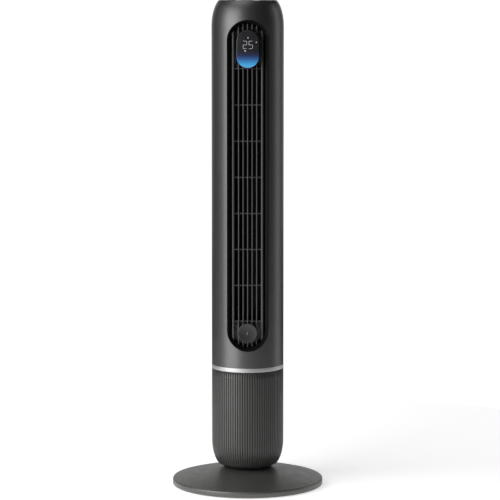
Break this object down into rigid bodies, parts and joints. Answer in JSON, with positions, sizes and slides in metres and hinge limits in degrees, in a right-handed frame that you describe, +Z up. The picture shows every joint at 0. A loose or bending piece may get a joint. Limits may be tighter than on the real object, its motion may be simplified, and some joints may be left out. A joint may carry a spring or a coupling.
{
  "type": "tower fan",
  "caption": "Oscillating tower fan: fluted column on a round foot, cross-flow impeller behind a tall slatted outlet, display pod and pull-out aroma capsule.",
  "frame": {"origin": "on the floor, under the column's axis, level with the underside of the foot pads", "axes": "+Z up along the column, -Y out of the air outlet, +X to the right of someone facing +Y"},
  "size_m": [0.326, 0.326, 1.05],
  "materials": {
    "graphite": "satin metallic graphite paint on plastic",
    "fluted_graphite": "fluted warm graphite",
    "foot_grey": "fine matte",
    "outlet_black": "satin black",
    "grille_grey": "satin dark grey",
    "gloss_black": "gloss",
    "satin_silver": "satin",
    "bare_steel": "plain",
    "inner_black": "moulded black",
    "natural_nylon": "natural nylon",
    "rubber_black": "matte",
    "board_green": "circuit board",
    "winding_copper": "copper windings on laminations",
    "felt_white": "felt"
  },
  "bodies": {
    "base": {"base_plate": "foot_grey", "base_underside": "inner_black", "base_weight": "bare_steel", "base_screw_1": "bare_steel", "base_screw_2": "bare_steel", "base_screw_3": "bare_steel", "foot_pad_1": "rubber_black", "foot_pad_2": "rubber_black", "foot_pad_3": "rubber_black", "foot_pad_4": "rubber_black", "foot_pad_5": "rubber_black", "cord_gland": "rubber_black", "neck_collar": "outlet_black", "pivot_post": "bare_steel", "lock_nut": "inner_black", "retaining_ring": "bare_steel", "fixed_gear": "natural_nylon", "glide_ring": "natural_nylon"},
    "tower": {"turntable": "inner_black", "lower_barrel": "fluted_graphite", "trim_ring": "satin_silver", "power_board": "board_green", "swing_motor": "bare_steel", "front_shell": "graphite", "rear_shell": "graphite", "shell_screw_1": "bare_steel", "shell_screw_2": "bare_steel", "shell_screw_3": "bare_steel", "shell_screw_4": "bare_steel", "rear_grille": "grille_grey", "grip_pocket": "outlet_black", "outlet_bezel": "outlet_black", "outlet_grille": "grille_grey", "display_housing": "outlet_black", "display_lens": "gloss_black", "display_board": "board_green", "aroma_cup": "outlet_black", "motor_can": "bare_steel", "motor_stator": "winding_copper", "motor_cap": "bare_steel", "motor_deck": "inner_black", "motor_mount_1": "rubber_black", "motor_mount_2": "rubber_black", "motor_mount_3": "rubber_black", "bearing_bridge": "inner_black", "bearing_bush": "rubber_black", "duct_scroll": "inner_black", "duct_cutoff": "inner_black", "control_panel": "gloss_black", "control_board": "board_green"},
    "impeller_body": {"impeller": "inner_black", "motor_rotor": "bare_steel"},
    "drive_gear_body": {"drive_gear": "natural_nylon"},
    "aroma_capsule": {"aroma_cap": "graphite", "aroma_pad": "felt_white"},
    "power_button_body": {"power_button": "gloss_black"},
    "speed_button_body": {"speed_button": "gloss_black"},
    "timer_button_body": {"timer_button": "gloss_black"},
    "mode_button_body": {"mode_button": "gloss_black"},
    "swing_button_body": {"swing_button": "gloss_black"}
  },
  "joints": [
    {"name": "tower_swing", "type": "hinge", "parent": "base", "child": "tower", "pos_m": [0, 0, 0.06], "axis": [0, 0, 1], "range_deg": [-40, 40]},
    {"name": "impeller_spin", "type": "hinge", "parent": "tower", "child": "impeller_body", "pos_m": [0, 0.008, 0.6], "axis": [0, 0, 1], "continuous": true},
    {"name": "drive_gear_spin", "type": "hinge", "parent": "tower", "child": "drive_gear_body", "pos_m": [0, 0.04, 0.062], "axis": [0, 0, 1], "range_deg": [-96, 96]},
    {"name": "aroma_pull", "type": "slide", "parent": "tower", "child": "aroma_capsule", "axis": [0, -1, 0], "range_m": [0, 0.03]},
    {"name": "power_press", "type": "slide", "parent": "tower", "child": "power_button_body", "axis": [0, 0, -1], "range_m": [0, 0.0008], "stiffness_N_per_m": 400, "springref_m": -0.0005},
    {"name": "speed_press", "type": "slide", "parent": "tower", "child": "speed_button_body", "axis": [0, 0, -1], "range_m": [0, 0.0008], "stiffness_N_per_m": 400, "springref_m": -0.0005},
    {"name": "timer_press", "type": "slide", "parent": "tower", "child": "timer_button_body", "axis": [0, 0, -1], "range_m": [0, 0.0008], "stiffness_N_per_m": 400, "springref_m": -0.0005},
    {"name": "mode_press", "type": "slide", "parent": "tower", "child": "mode_button_body", "axis": [0, 0, -1], "range_m": [0, 0.0008], "stiffness_N_per_m": 400, "springref_m": -0.0005},
    {"name": "swing_press", "type": "slide", "parent": "tower", "child": "swing_button_body", "axis": [0, 0, -1], "range_m": [0, 0.0008], "stiffness_N_per_m": 400, "springref_m": -0.0005}
  ],
  "couplings": [
    {"joint": "drive_gear_spin", "follows": "tower_swing", "ratio": 2.4}
  ]
}
